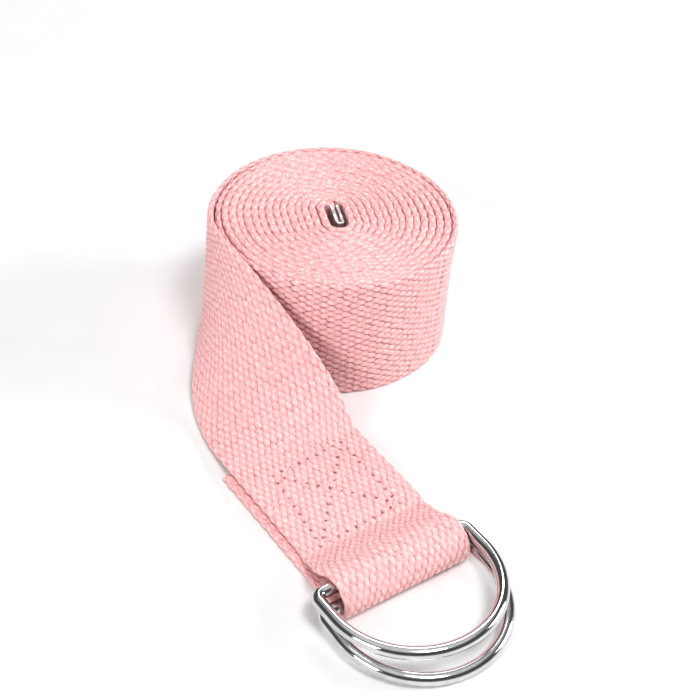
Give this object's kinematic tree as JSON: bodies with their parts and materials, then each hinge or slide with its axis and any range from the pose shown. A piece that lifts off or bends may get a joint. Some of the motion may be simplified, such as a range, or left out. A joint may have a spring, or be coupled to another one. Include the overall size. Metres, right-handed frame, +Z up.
{
  "type": "stretching strap",
  "caption": "Rolled-up webbing strap for stretching, its loose end sewn round D-rings that cinch it into a loop, the other end tipped with crimped metal.",
  "frame": {"origin": "on the roll's axis at floor level, where the rolled webbing stands on its edge", "axes": "+X along the ring bars, +Y from the rings to the roll, +Z up from the floor"},
  "size_m": [0.1037, 0.1648, 0.041],
  "materials": {
    "webbing": "plain woven cotton, matt",
    "thread": "twisted sewing thread",
    "tip_metal": "nickel plated, lightly brushed",
    "ring_chrome": "polished"
  },
  "bodies": {
    "strap": {"webbing_roll": "webbing", "webbing_lead": "webbing", "webbing_top_layer": "webbing", "webbing_eye": "webbing", "webbing_underlap": "webbing", "box_stitch_needle_thread": "thread", "box_stitch_bobbin_thread": "thread", "end_tip": "tip_metal"},
    "upper_ring": {"d_ring_upper": "ring_chrome"},
    "lower_ring": {"d_ring_lower": "ring_chrome"}
  },
  "joints": [
    {"name": "upper_ring_swing", "type": "hinge", "parent": "strap", "child": "upper_ring", "pos_m": [-0.0451, -0.0933, 0.00725], "axis": [-1, 0, 0], "range_deg": [0, 150]},
    {"name": "lower_ring_swing", "type": "hinge", "parent": "strap", "child": "lower_ring", "pos_m": [-0.0451, -0.09655, 0.00375], "axis": [1, 0, 0], "range_deg": [0, 150]}
  ]
}
